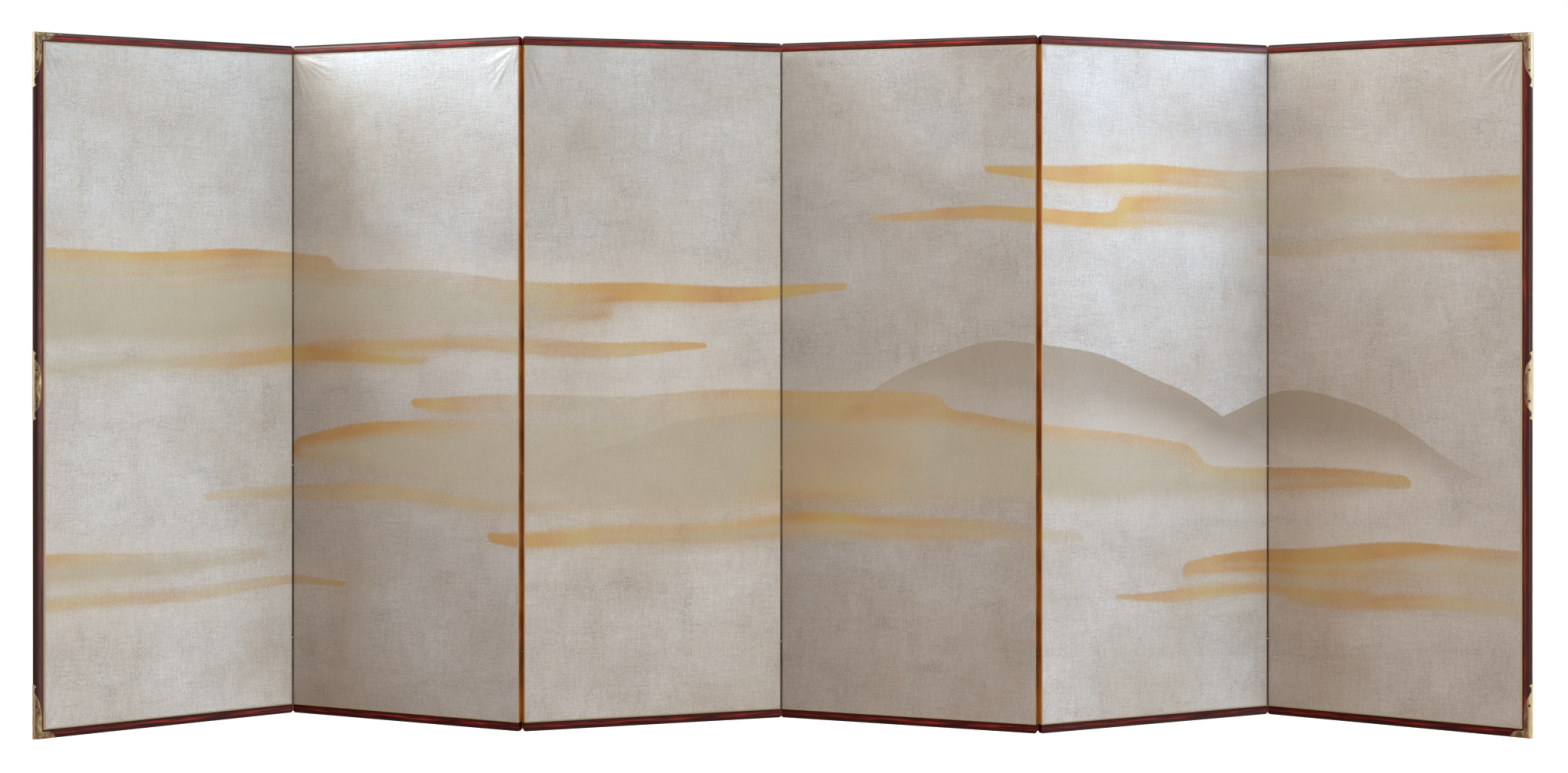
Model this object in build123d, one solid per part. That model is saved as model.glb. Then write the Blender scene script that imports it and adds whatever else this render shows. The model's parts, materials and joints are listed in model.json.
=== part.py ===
from build123d import *
import os
from math import cos, radians, sin

os.makedirs("parts", exist_ok=True)

# A six-panel folding screen of paper, silk and lacquered wood, standing in a zigzag.
# Millimetres and degrees. +Z is up and the fronts face -Y. The origin is on the floor,
# in the middle of the standing screen's length and depth. Panels are numbered from the
# viewer's left. A valley fold has its crease line at the front, a mountain fold at the back.

# Whole screen
frame_height = 1710.0  # floor to the top of the rails
panel_width = 658.0  # length of a rail, and so of a panel
first_panel_angle = 33.4  # plan angle of panel 1 to the screen's length
fold_turns = (56.4, 39.7, 35.9, 42.6, 53.1)  # how far each fold is turned from flat

# Lattice core of each panel
core_thickness = 16.0
core_member = 24.0  # width of the members round the outside
slat_width = 9.0
upright_slats = 4
cross_slats = 12

# Faces, edge paper and paper hinges
skin_thickness = 1.0  # silk or pattern paper on its layers of backing paper
edge_paper = 0.3
leaf_paper = 0.4
flange_width = 25.0  # how far a hinge leaf is pasted onto a face
end_leaf = 172.0  # height of the top and bottom leaves of a fold
middle_leaves = 3
leaf_break = 1.0  # slit between one leaf and the next
rebate_clearance = 0.1
crease_radius = 0.6  # rolled paper on the fold line
crease_clearance = 0.3  # between the rolled crease and the other panel's leaf

# Frame moulding
frame_face = 22.0  # width seen from the front
frame_proud = 1.0  # crown of the moulding over the panel's face
frame_lip = 0.2  # inner edge of the moulding over the panel's face
inner_round = 1.3  # small round along the inner edge
crown_inset = 7.5  # crown from the inner edge
shoulder_inset = 9.0  # start of the rounded shoulder from the outer edge
shoulder_drop = 0.3  # fall of the moulding from its crown to the shoulder
outer_flat = 9.0  # width of the flat on the outer edge
end_round = 4.0  # outer corners of the rails at the folds

# Stub tenons between moulding and core
tenon_length = 60.0
tenon_thickness = 6.0
tenon_depth = 10.0
tenon_pitch = 260.0  # about, between tenons along a member
mortise_clearance = 0.2

# Clearances at the folds
fold_gap = 0.5  # end of a rail to the plane of the fold
fold_clearance = 0.3  # crown of the moulding to the fold line

# Brass fittings
sheet = 0.7
fitting_inset = 4.0  # inner edge of a fitting from the moulding's inner edge
stile_arm = 118.0
rail_arm = 54.0
mid_half = 68.0  # half the height of the fitting halfway up
scallop = 0.7  # bulge of each scallop
bead_radius = 3.6
bead_offset = 10.0  # middle of the bead past the end of an arm
neck = 1.6  # width of brass between bead and arm, seen from the front
heart_radius = 1.9
heart_inset = 5.0  # pierced holes from the outer edge
top_hearts = (42.0, 92.0)  # pierced holes from the corner
bottom_hearts = (80.0,)
mid_hearts = (-38.0, 38.0)  # pierced holes from the middle

# Tacks
tack_shank = 0.6
tack_length = 9.0
tack_head = 1.7
tack_rise = 1.1
tack_fit = 0.05
corner_tacks = (20.0, 66.0)  # from the corner

# Sizes that follow from these
face_plane = core_thickness / 2 + skin_thickness
crown = face_plane + frame_proud
lip = face_plane + frame_lip
fold_line = crown + fold_clearance
body_bottom = frame_face
body_top = frame_height - frame_face
body_height = body_top - body_bottom
panel_count = len(fold_turns) + 1
middle_leaf = (body_height - 2 * end_leaf) / middle_leaves


def box(x0, x1, y0, y1, z0, z1):
    """A box between two corners, given in any order."""
    size = abs(x1 - x0), abs(y1 - y0), abs(z1 - z0)
    return Pos((x0 + x1) / 2, (y0 + y1) / 2, (z0 + z1) / 2) * Box(*size)


def moulding_section():
    """Half round the crown on both faces, with the outer edge at Z = 0, across X."""
    half_flat = outer_flat / 2
    edges = []
    for side in (-1, 1):
        inner = (side * lip, -frame_face)
        bend = (side * (lip + 0.7 * (crown - shoulder_drop - lip)), -frame_face + 0.3 * inner_round)
        start = (side * (crown - shoulder_drop), -frame_face + inner_round)
        top = (side * crown, -(frame_face - crown_inset))
        shoulder = (side * (crown - shoulder_drop), -shoulder_inset)
        edges.append(ThreePointArc(inner, bend, start))
        face = ThreePointArc(start, top, shoulder)
        edges.append(face)
        edges.append(TangentArc(face @ 1, (side * half_flat, 0), tangent=face % 1))
    edges.append(Line((-half_flat, 0), (half_flat, 0)))
    edges.append(Line((-lip, -frame_face), (lip, -frame_face)))
    return make_face(edges)


def rail_outline(length, mitred_start, mitred_end):
    """Front view of a member along X, mitred or rounded at each end."""
    start = frame_face if mitred_start else 0
    end = length - frame_face if mitred_end else length
    outline = make_face(
        Polyline((0, 0), (length, 0), (end, -frame_face), (start, -frame_face), close=True)
    )
    rounded = []
    for x, mitred in ((0, mitred_start), (length, mitred_end)):
        if not mitred:
            rounded += outline.vertices().filter_by(
                lambda v, x=x: abs(v.X - x) < 1e-6 and abs(v.Y) < 1e-6
            )
    return fillet(rounded, end_round) if rounded else outline


def tenon_places(start, end):
    """Middles of the tenons along a member between two ends."""
    count = max(1, round((end - start) / tenon_pitch))
    pitch = (end - start) / count
    return [start + pitch * (i + 0.5) for i in range(count)]


def member(length, mitred_start, mitred_end):
    """Frame moulding along +X with its outer edge at Z = 0 and its tenons below."""
    bar = extrude(Plane.YZ * moulding_section(), length)
    outline = Plane.XZ * rail_outline(length, mitred_start, mitred_end)
    bar = bar & extrude(outline, 2 * crown, both=True)
    start = frame_face if mitred_start else 0
    end = length - frame_face if mitred_end else length
    half = tenon_thickness / 2
    for x in tenon_places(start, end):
        bar += box(
            x - tenon_length / 2, x + tenon_length / 2,
            -half, half,
            -frame_face, -frame_face - tenon_depth,
        )
    return bar


def as_top(shape):
    """From along X, outer edge up, to the top of a panel."""
    return Pos(-panel_width / 2, 0, frame_height) * shape


def as_bottom(shape):
    """To the bottom of a panel, outer edge down."""
    return Pos(panel_width / 2, 0, 0) * Rot(0, 180, 0) * shape


def as_left(shape):
    """To the left end of a panel, along +Z from the floor, outer edge to -X."""
    return Pos(-panel_width / 2, 0, 0) * Rot(0, -90, 0) * shape


def as_right(shape):
    """To the right end of a panel, along -Z from the top, outer edge to +X."""
    return Pos(panel_width / 2, 0, frame_height) * Rot(0, 90, 0) * shape


def leaf_spans():
    """Bottom and top of each hinge leaf of a fold, from the bottom up."""
    heights = [end_leaf] + [middle_leaf] * middle_leaves + [end_leaf]
    spans = []
    z = body_bottom
    for height in heights:
        spans.append((z + leaf_break / 2, z + height - leaf_break / 2))
        z += height
    return spans


def wrapped_leaf(z0, z1):
    """The part of a leaf that goes round a panel's right edge to a crease at the back."""
    half = core_thickness / 2
    leaf = box(-flange_width, 0, -half, -half + leaf_paper, z0, z1)
    leaf += box(-leaf_paper, 0, -half, fold_line, z0, z1)
    leaf += box(-leaf_paper, fold_gap, fold_line - crease_radius, fold_line, z0, z1)
    crease = Cylinder(crease_radius, z1 - z0)
    return leaf + Pos(fold_gap, fold_line, (z0 + z1) / 2) * crease


def pasted_leaf(z0, z1):
    """The leaf's other part, pasted under the back face up to the panel's right edge."""
    half = core_thickness / 2
    leaf = box(-flange_width, 0, half - leaf_paper, half, z0, z1)
    reach = fold_line - crease_radius - crease_clearance
    return leaf + box(-leaf_paper, 0, half - leaf_paper, reach, z0, z1)


def at_edge(shape, side, crease_side):
    """From a right edge with its crease at the back, to the given edge and crease side."""
    if side < 0:
        shape = mirror(shape, Plane.YZ)
    if crease_side < 0:
        shape = mirror(shape, Plane.XZ)
    return Pos(side * panel_width / 2, 0, 0) * shape


def crease_side(fold):
    """-1 where the fold line is at the front (a valley), 1 where it is at the back."""
    return -1 if fold % 2 == 0 else 1


def wraps_here(side, span):
    """Whether a leaf wraps round this edge; the leaves of a fold take turns."""
    return (span % 2 == 0) == (side > 0)


class Edge:
    """One upright edge of a panel: at an outer stile, or at a fold."""

    def __init__(self, panel, side):
        self.side = side
        self.fold = panel if side > 0 else panel - 1
        self.outer = self.fold < 0 or self.fold >= len(fold_turns)
        self.crease = 0 if self.outer else crease_side(self.fold)

    def core_x(self):
        if self.outer:
            return self.side * (panel_width / 2 - frame_face)
        return self.side * (panel_width / 2 - leaf_paper - edge_paper)

    def skin_x(self, face_side):
        if self.outer:
            return self.side * (panel_width / 2 - frame_face)
        if face_side == self.crease:
            return self.side * (panel_width / 2 - leaf_paper)
        return self.side * panel_width / 2

    def leaves(self):
        """The hinge leaves of this edge's fold that are pasted on this panel."""
        pieces = []
        for i, (z0, z1) in enumerate(leaf_spans()):
            shape = wrapped_leaf(z0, z1) if wraps_here(self.side, i) else pasted_leaf(z0, z1)
            pieces.append(at_edge(shape, self.side, self.crease))
        return pieces

    def rebates(self):
        """Where the leaves lie in the core's two faces."""
        half = core_thickness / 2
        c = rebate_clearance
        cuts = []
        for i, (z0, z1) in enumerate(leaf_spans()):
            face = -self.crease if wraps_here(self.side, i) else self.crease
            x1 = self.side * (panel_width / 2 - flange_width - c)
            cuts.append(
                box(
                    x1, self.side * panel_width / 2,
                    face * (half - leaf_paper), face * (half + 1),
                    z0 - c, z1 + c,
                )
            )
        return cuts

    def paper(self):
        """The strip that covers the core's edge."""
        half = core_thickness / 2 - leaf_paper
        x0 = self.side * (panel_width / 2 - leaf_paper)
        return box(x0, self.core_x(), -half, half, body_bottom, body_top)


def lattice_core(left, right):
    """Outer members and slats, mortised for the frame and rebated for the hinge leaves."""
    x0, x1 = left.core_x(), right.core_x()
    width = x1 - x0
    middle = (x0 + x1) / 2
    open_width = (width - 2 * core_member - upright_slats * slat_width) / (upright_slats + 1)
    open_height = (body_height - 2 * core_member - cross_slats * slat_width) / (cross_slats + 1)
    cells = GridLocations(
        open_width + slat_width, open_height + slat_width, upright_slats + 1, cross_slats + 1
    )
    outline = Rectangle(width, body_height) - cells * Rectangle(open_width, open_height)
    slab = extrude(Plane.XZ * outline, core_thickness / 2, both=True)
    core = Pos(middle, 0, (body_bottom + body_top) / 2) * slab
    c = mortise_clearance
    half_length = tenon_length / 2 + c
    half = tenon_thickness / 2 + c
    depth = tenon_depth + c
    cuts = left.rebates() if not left.outer else []
    cuts += right.rebates() if not right.outer else []
    starts = -panel_width / 2 + (frame_face if left.outer else 0)
    ends = panel_width / 2 - (frame_face if right.outer else 0)
    for x in tenon_places(starts, ends):
        for z, inward in ((body_bottom, 1), (body_top, -1)):
            cuts.append(
                box(x - half_length, x + half_length, -half, half, z - inward, z + inward * depth)
            )
    for edge in (left, right):
        if edge.outer:
            x = edge.core_x()
            for z in tenon_places(body_bottom, body_top):
                cuts.append(
                    box(
                        x + edge.side, x - edge.side * depth,
                        -half, half,
                        z - half_length, z + half_length,
                    )
                )
    return core - cuts


def skin(left, right, face_side):
    """A face of paper or silk, between the rails and out to the panel's edges."""
    y0 = face_side * core_thickness / 2
    y1 = face_side * face_plane
    return box(left.skin_x(face_side), right.skin_x(face_side), y0, y1, body_bottom, body_top)


def sheath_section():
    """A skin of sheet brass round the outside of the moulding."""
    return offset(moulding_section(), sheet) - moulding_section()


def scalloped(points):
    """Arcs from point to point along -Y's side of the brass, each bulging outwards.

    The last arc curves the other way, into the narrow tip.
    """
    arcs = []
    for i, (start, end) in enumerate(zip(points, points[1:])):
        start, end = Vector(*start), Vector(*end)
        way = (end - start).normalized()
        out = Vector(way.Y, -way.X) if way.X > 0 else Vector(-way.Y, way.X)
        bulge = -scallop if i == len(points) - 2 else scallop
        arcs.append(ThreePointArc(start, (start + end) * 0.5 + out * bulge, end))
    return arcs


def bead(x, way):
    """Round drop with a small point, past the end of an arm, on a narrow neck."""
    middle = x + way * bead_offset
    drop = Pos(middle, -bead_radius / 4) * Circle(bead_radius)
    stem = Pos(x + way * bead_offset / 2, sheet / 2 - neck / 2) * Rectangle(
        bead_offset + 2 * neck, neck + sheet
    )
    point = make_face(
        Polyline(
            (middle, -bead_radius),
            (middle + way * 1.8 * bead_radius, sheet),
            (middle, sheet),
            close=True,
        )
    )
    return drop + stem + point


def heart(x):
    """Pierced hole in the shape of a boar's eye."""
    step = 0.85 * heart_radius
    tip = make_face(
        Polyline(
            (x - step - heart_radius, -heart_inset),
            (x + step + heart_radius, -heart_inset),
            (x, -heart_inset - 2.8 * heart_radius),
            close=True,
        )
    )
    lobes = [Pos(x + side * step, -heart_inset) * Circle(heart_radius) for side in (-1, 1)]
    return tip + lobes


def arm(length, hearts, beaded):
    """One arm of a corner fitting along +X from the corner, outer edge up."""
    depth = frame_face - fitting_inset
    stations = ((0.0, 1.0), (0.2, 0.94), (0.42, 0.96), (0.62, 0.78), (0.78, 0.54), (1.0, 0.0))
    inner = [(depth + (length - depth) * a, -depth * w) for a, w in stations]
    edges = scalloped(inner)
    end = inner[-1]
    edges += [
        Line(end, (end[0], 2 * sheet)),
        Line((end[0], 2 * sheet), (-2 * sheet, 2 * sheet)),
        Line((-2 * sheet, 2 * sheet), inner[0]),
    ]
    outline = make_face(edges)
    if beaded:
        outline += bead(length, 1)
    for x in hearts:
        outline -= heart(x)
    return outline


def sheathed(outline, start, end):
    """Sheet brass round the moulding, inside a front outline, along +X."""
    wrap = Pos(start, 0, 0) * extrude(Plane.YZ * sheath_section(), end - start)
    return wrap & extrude(Plane.XZ * outline, 2 * crown, both=True)


def corner_fitting(hearts, open_end):
    """For the top left corner: one arm along the rail, one down the stile.

    An open end has no brass over the rail's outer edge, which stands on the floor.
    """
    rail = sheathed(arm(rail_arm, (), not open_end), -2 * sheet, rail_arm + 2 * bead_offset)
    stile = sheathed(arm(stile_arm, hearts, True), -2 * sheet, stile_arm + 2 * bead_offset)
    stile = mirror(Rot(0, -90, 0) * stile, Plane.XY)
    fitting = rail + stile
    if open_end:
        reach = 4 * stile_arm
        fitting -= box(-reach, reach, -reach, reach, 0, reach)
    return fitting


def mid_fitting():
    """Symmetric fitting with a scalloped front lobe, along X about its middle."""
    depth = frame_face - fitting_inset - 1
    half = ((0.0, 1.0), (0.32, 0.94), (0.58, 0.8), (0.76, 0.6), (1.0, 0.0))
    edges = scalloped([(mid_half * a, -depth * w) for a, w in half])
    edges += scalloped([(-mid_half * a, -depth * w) for a, w in half])
    edges += [
        Line((mid_half, 0), (mid_half, 2 * sheet)),
        Line((mid_half, 2 * sheet), (-mid_half, 2 * sheet)),
        Line((-mid_half, 2 * sheet), (-mid_half, 0)),
    ]
    outline = make_face(edges) + bead(mid_half, 1) + bead(-mid_half, -1)
    for x in mid_hearts:
        outline -= heart(x)
    reach = mid_half + 2 * bead_offset
    return sheathed(outline, -reach, reach)


def tack():
    """Round-headed tack that points down -Z from its seat at Z = 0."""
    shank = Pos(0, 0, -tack_length / 2) * Cylinder(tack_shank, tack_length)
    ball = (tack_head**2 + tack_rise**2) / (2 * tack_rise)
    head = Pos(0, 0, tack_rise - ball) * Sphere(ball)
    head = head & box(-ball, ball, -ball, ball, 0, ball)
    return shank + head


def tack_hole():
    return Cylinder(tack_shank + tack_fit, 2 * tack_length + 2 * tack_fit)


def plan_places():
    """Plan position and angle of each panel, and of each fold line, before centring."""
    panels, folds = [], []
    angle = first_panel_angle
    reach = panel_width / 2 + fold_gap
    x, y = 0.0, 0.0
    for k in range(panel_count):
        panels.append((x, y, angle))
        if k < len(fold_turns):
            line = crease_side(k) * fold_line
            a = radians(angle)
            fx = x + reach * cos(a) - line * sin(a)
            fy = y + reach * sin(a) + line * cos(a)
            folds.append((fx, fy))
            angle += crease_side(k) * fold_turns[k]
            a = radians(angle)
            x = fx + reach * cos(a) + line * sin(a)
            y = fy + reach * sin(a) - line * cos(a)
    return panels, folds


panels, folds = plan_places()
nodes = {}


def add(name, panel, shape):
    """Keep a piece that was made in its panel's own frame, in its place in the zigzag."""
    x, y, angle = panels[panel]
    solids = shape if isinstance(shape, list) else shape.solids()
    nodes[name] = [Pos(x, y, 0) * Rot(0, 0, angle) * solid for solid in solids]


stile_places = (("left", 0, as_left, -1), ("right", panel_count - 1, as_right, 1))
stile_middle = frame_height / 2

for k in range(panel_count):
    n = k + 1
    left, right = Edge(k, -1), Edge(k, 1)
    add(f"lattice_core_{n}", k, lattice_core(left, right))
    add(f"front_face_{n}", k, skin(left, right, -1))
    add(f"back_face_{n}", k, skin(left, right, 1))
    add(f"top_rail_{n}", k, as_top(member(panel_width, left.outer, right.outer)))
    add(f"bottom_rail_{n}", k, as_bottom(member(panel_width, right.outer, left.outer)))
    add(f"edge_paper_{n}", k, [e.paper() for e in (left, right) if not e.outer])
    for edge in (left, right):
        if not edge.outer:
            a, b = edge.fold + 1, edge.fold + 2
            add(f"hinge_leaves_{a}{b}_on_{n}", k, edge.leaves())

for name, k, place, side in stile_places:
    # Stile, fittings and tacks are made along +X from the stile's start, then placed.
    stile = member(frame_height, True, True)
    top_end = frame_height if name == "left" else 0
    way = -1 if name == "left" else 1
    tack_seats = [top_end + way * d for d in corner_tacks]
    tack_seats += [frame_height - top_end - way * d for d in corner_tacks]
    tack_seats.append(stile_middle)
    holes = [Pos(x, 0, sheet) * tack_hole() for x in tack_seats]
    add(f"{name}_stile", k, place(stile - holes))
    placed_holes = [place(hole) for hole in holes]
    add(f"tacks_{name}", k, [place(Pos(x, 0, sheet) * tack()) for x in tack_seats])
    add(f"mid_fitting_{name}", k, place(Pos(stile_middle, 0, 0) * mid_fitting()) - placed_holes)
    corner_x = side * panel_width / 2
    for level, hearts in (("top", top_hearts), ("bottom", bottom_hearts)):
        fitting = corner_fitting(hearts, level == "bottom")
        if side > 0:
            fitting = mirror(fitting, Plane.YZ)
        if level == "bottom":
            fitting = mirror(fitting, Plane.XY)
        height = frame_height if level == "top" else 0
        fitting = Pos(corner_x, 0, height) * fitting
        add(f"corner_fitting_{level}_{name}", k, fitting - placed_holes)

everything = Compound([solid for solids in nodes.values() for solid in solids])
bounds = everything.bounding_box()
centre = Pos(-(bounds.min.X + bounds.max.X) / 2, -(bounds.min.Y + bounds.max.Y) / 2, 0)

for name, solids in nodes.items():
    placed = [centre * solid for solid in solids]
    export_step(placed[0] if len(placed) == 1 else Compound(placed), f"parts/{name}.step")

print(f"{len(nodes)} nodes, size {bounds.size.X:.2f} x {bounds.size.Y:.2f} x {bounds.size.Z:.2f} mm")
for i, (x, y) in enumerate(folds):
    print(f"fold {i + 1}|{i + 2} line at X {x + centre.position.X:.4f}, Y {y + centre.position.Y:.4f}")
for k, (x, y, angle) in enumerate(panels):
    print(
        f"panel {k + 1} middle at X {x + centre.position.X:.4f},"
        f" Y {y + centre.position.Y:.4f}, angle {angle:.3f}"
    )
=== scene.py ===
"""Six-panel folding screen of silvered silk, paper, lacquered wood and brass, dressed on its CAD frame.

Every length is in metres, in the frame's own axes: +Z is up and the painted fronts face -Y.
Panels are numbered from the viewer's left.
"""

from __future__ import annotations

import functools
import json
import logging
import math
from dataclasses import dataclass
from enum import Enum

import bpy
import numpy as np
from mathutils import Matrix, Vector

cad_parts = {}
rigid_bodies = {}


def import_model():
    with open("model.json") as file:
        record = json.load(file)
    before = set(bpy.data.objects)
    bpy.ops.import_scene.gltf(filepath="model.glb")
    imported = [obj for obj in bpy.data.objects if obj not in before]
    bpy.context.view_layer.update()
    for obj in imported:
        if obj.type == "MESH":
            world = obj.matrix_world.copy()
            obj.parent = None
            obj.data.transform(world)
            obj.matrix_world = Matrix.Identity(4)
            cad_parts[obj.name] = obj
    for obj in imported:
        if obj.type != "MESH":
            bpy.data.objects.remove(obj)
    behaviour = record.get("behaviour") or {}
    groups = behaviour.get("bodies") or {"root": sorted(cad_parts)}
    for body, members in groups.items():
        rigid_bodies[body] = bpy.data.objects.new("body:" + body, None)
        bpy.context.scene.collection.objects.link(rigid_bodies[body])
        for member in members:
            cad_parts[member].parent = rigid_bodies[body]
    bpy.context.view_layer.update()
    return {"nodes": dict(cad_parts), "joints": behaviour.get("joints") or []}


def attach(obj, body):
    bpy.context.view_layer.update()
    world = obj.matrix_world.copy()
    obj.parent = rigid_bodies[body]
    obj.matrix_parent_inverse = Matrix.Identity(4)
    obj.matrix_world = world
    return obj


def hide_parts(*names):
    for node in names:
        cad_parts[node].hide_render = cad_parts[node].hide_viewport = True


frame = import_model()

MM = 0.001
PANEL_COUNT = 6
# The folds that go away from the viewer; the others come forward.
VALLEYS = ("12", "34", "56")
LOG = logging.getLogger("folding_screen")

# What the silk's mesh tells its material about the painting.
PAINT_MEASURES = ("mist_depth", "hill_depth", "mist_lower", "hill", "pools", "drift")

# A Mix node's way with colours, and a MapRange node's way from one end to the other.
COLOURS = {"data_type": "RGBA", "output": 2}
SMOOTH = {"interpolation_type": "SMOOTHSTEP"}

Tree = bpy.types.NodeTree
Socket = bpy.types.NodeSocket
Colour = tuple[float, float, float, float]
Triple = tuple[float, float, float]
Stops = tuple[tuple[float, str], ...]
Inputs = dict[int | str, object] | list[object] | tuple[object, ...]
# A wave's height, how fast it goes along and up, and its phase.
Waves = tuple[tuple[float, float, float, float], ...]


def linear(hex_colour: str) -> Colour:
    """Turns an sRGB hex colour to the linear colour that a shader takes.

    Args:
        hex_colour: the colour, such as "#A08A5C".

    Returns:
        Red, green, blue and an alpha of 1.
    """
    parts = [int(hex_colour[i : i + 2], 16) / 255 for i in (1, 3, 5)]
    red, green, blue = (c / 12.92 if c <= 0.04045 else ((c + 0.055) / 1.055) ** 2.4 for c in parts)
    return red, green, blue, 1.0


def fill(tree: Tree, node: bpy.types.Node, inputs: Inputs) -> None:
    """Gives a node its values and its links.

    Args:
        tree: the tree that the node is in.
        node: the node.
        inputs: values, hex colours or sockets to link, by the input's name or number or else in order.
    """
    for name, value in inputs.items() if isinstance(inputs, dict) else enumerate(inputs):
        if isinstance(value, Socket):
            tree.links.new(value, node.inputs[name])
        else:
            node.inputs[name].default_value = linear(value) if isinstance(value, str) else value


def add_node(
    tree: Tree, kind: str, inputs: Inputs = (), stops: Stops = (), output: int | str = 0, **settings: object
) -> Socket:
    """Adds a node, with its settings, its values and its links.

    Args:
        tree: the tree that gets the node.
        kind: the node's type name without its first word, ShaderNode.
        inputs: what its inputs get, as fill takes it.
        stops: for a colour ramp, each stop's place and hex colour.
        output: the output that is wanted, by its name or number.
        settings: the node's own properties.

    Returns:
        That output.
    """
    node = tree.nodes.new(f"ShaderNode{kind}")
    for name, value in settings.items():
        setattr(node, name, value)
    fill(tree, node, inputs)
    for i, (place, colour) in enumerate(stops):
        elements = node.color_ramp.elements
        stop = elements[i] if i < 2 else elements.new(place)
        stop.position = place
        stop.color = linear(colour)
    return node.outputs[output]


def chain(tree: Tree, kind: str, values: list[object] | tuple[object, ...], **settings: object) -> Socket:
    """Joins values into one, with a node of the same kind for each after the first.

    Args:
        tree: the tree that gets the nodes.
        kind: the nodes' type name, as add_node takes it.
        values: the values or sockets, in order.
        settings: the nodes' own properties.

    Returns:
        The last node's output.
    """
    return functools.reduce(lambda joined, value: add_node(tree, kind, (joined, value), **settings), values)


def smooth_step(low: float, high: float, value: np.ndarray) -> np.ndarray:
    """Rises smoothly from 0 at low to 1 at high, for arrays."""
    t = np.clip((value - low) / (high - low), 0, 1)
    return t * t * (3 - 2 * t)


def swell(waves: Waves, along: np.ndarray, up: np.ndarray | float) -> np.ndarray:
    """The sum of some waves at each place."""
    return sum(high * np.sin(quick * along + steep * up + phase) for high, quick, steep, phase in waves)


def shifted(waves: Waves, shift: float) -> Waves:
    """The same waves, with each phase as many times the shift as its number says."""
    return tuple((high, quick, steep, times * shift) for high, quick, steep, times in waves)


def vertices_of(mesh: bpy.types.Mesh) -> np.ndarray:
    """Reads the places of a mesh's vertices.

    Args:
        mesh: the mesh.

    Returns:
        The places, one row each.
    """
    found = np.zeros(len(mesh.vertices) * 3)
    mesh.vertices.foreach_get("co", found)
    return found.reshape(-1, 3)


def points_of(node: str) -> np.ndarray:
    """The vertices of a CAD node at rest, in the frame's axes."""
    return vertices_of(frame["nodes"][node].data)


def new_object(name: str, data: bpy.types.ID) -> bpy.types.Object:
    """Puts a mesh, a light or a camera in the scene.

    Args:
        name: the new object's name.
        data: what it shows.

    Returns:
        The object.
    """
    made = bpy.data.objects.new(name, data)
    bpy.context.scene.collection.objects.link(made)
    return made


class Side(Enum):
    """The two sides of a panel's face, by the sign of X."""

    LEFT = -1
    RIGHT = 1


class Level(Enum):
    """The two ends of a panel's height."""

    BOTTOM = -1
    TOP = 1


class Soil(Enum):
    """Where the paper of a fold is dark with dirt from handling and painted shade: it is where two fronts
    meet.
    """

    NONE = "clean"
    AT_FRONT = "soiled_at_front"
    ALL_OVER = "soiled"


class Member(Enum):
    """The members of the lacquered frame, by their place on a panel."""

    TOP_RAIL = "top_rail"
    BOTTOM_RAIL = "bottom_rail"
    LEFT_STILE = "left_stile"
    RIGHT_STILE = "right_stile"

    @property
    def upright(self) -> bool:
        """Whether the member stands upright."""
        return self in (Member.LEFT_STILE, Member.RIGHT_STILE)

    @property
    def tone(self) -> float:
        """How light its lacquer is: painted light on the top rail and right stile, darker on the bottom
        rail.
        """
        return {Member.TOP_RAIL: 1.3, Member.BOTTOM_RAIL: 0.92, Member.RIGHT_STILE: 1.15}.get(self, 1.0)

    @property
    def gloss(self) -> float:
        """How much of its first gloss is left."""
        return 0.35 if self is Member.BOTTOM_RAIL else 1.0


@dataclass(frozen=True)
class PanelPlace:
    """Where a panel stands, as the frame's own nodes say.

    In a panel's own axes X runs along its width from its middle, the front faces -Y, and Z is up.
    """

    number: int
    x: float
    y: float
    turn: float
    half_width: float

    @property
    def body(self) -> str:
        """The CAD body that the panel's pieces ride on."""
        return f"panel_{self.number}"

    @classmethod
    def of(cls, number: int) -> PanelPlace:
        """Reads a panel's place from its front face and its top rail.

        Args:
            number: the panel's number, from 1.

        Returns:
            The place of that panel.
        """
        face = points_of(f"front_face_{number}")[:, :2]
        # A face is far longer than it is thick, so its main axis lies along the panel.
        along = np.linalg.svd(face - face.mean(axis=0), full_matrices=False)[2][0]
        along = along * np.sign(along[0])
        across = np.array([-along[1], along[0]])
        rail = points_of(f"top_rail_{number}")[:, :2]
        low_x, high_x = (rail @ along).min(), (rail @ along).max()
        low_y, high_y = (rail @ across).min(), (rail @ across).max()
        middle = along * (low_x + high_x) / 2 + across * (low_y + high_y) / 2
        turn = math.atan2(along[1], along[0])
        return cls(number, float(middle[0]), float(middle[1]), turn, float(high_x - low_x) / 2)

    def axes(self) -> np.ndarray:
        """Rows of the panel's own X, Y and Z in the frame's axes."""
        c, s = math.cos(self.turn), math.sin(self.turn)
        return np.array([[c, s, 0.0], [-s, c, 0.0], [0.0, 0.0, 1.0]])

    def out(self, points: np.ndarray) -> np.ndarray:
        """Takes points from the panel's own axes to the frame's."""
        return points @ self.axes() + np.array([self.x, self.y, 0.0])

    def own(self, points: np.ndarray) -> np.ndarray:
        """Takes points from the frame's axes to the panel's own."""
        return (points - np.array([self.x, self.y, 0.0])) @ self.axes().T

    def coordinates(self, tree: Tree) -> Socket:
        """Adds the nodes that give a material the panel's own coordinates, in metres.

        Args:
            tree: the material's tree.

        Returns:
            The socket with the coordinates.
        """
        place = add_node(tree, "TexCoord", output="Object")
        move = {"Vector": place, "Location": (self.x, self.y, 0.0), "Rotation": (0.0, 0.0, self.turn)}
        return add_node(tree, "Mapping", move, vector_type="TEXTURE")


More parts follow.
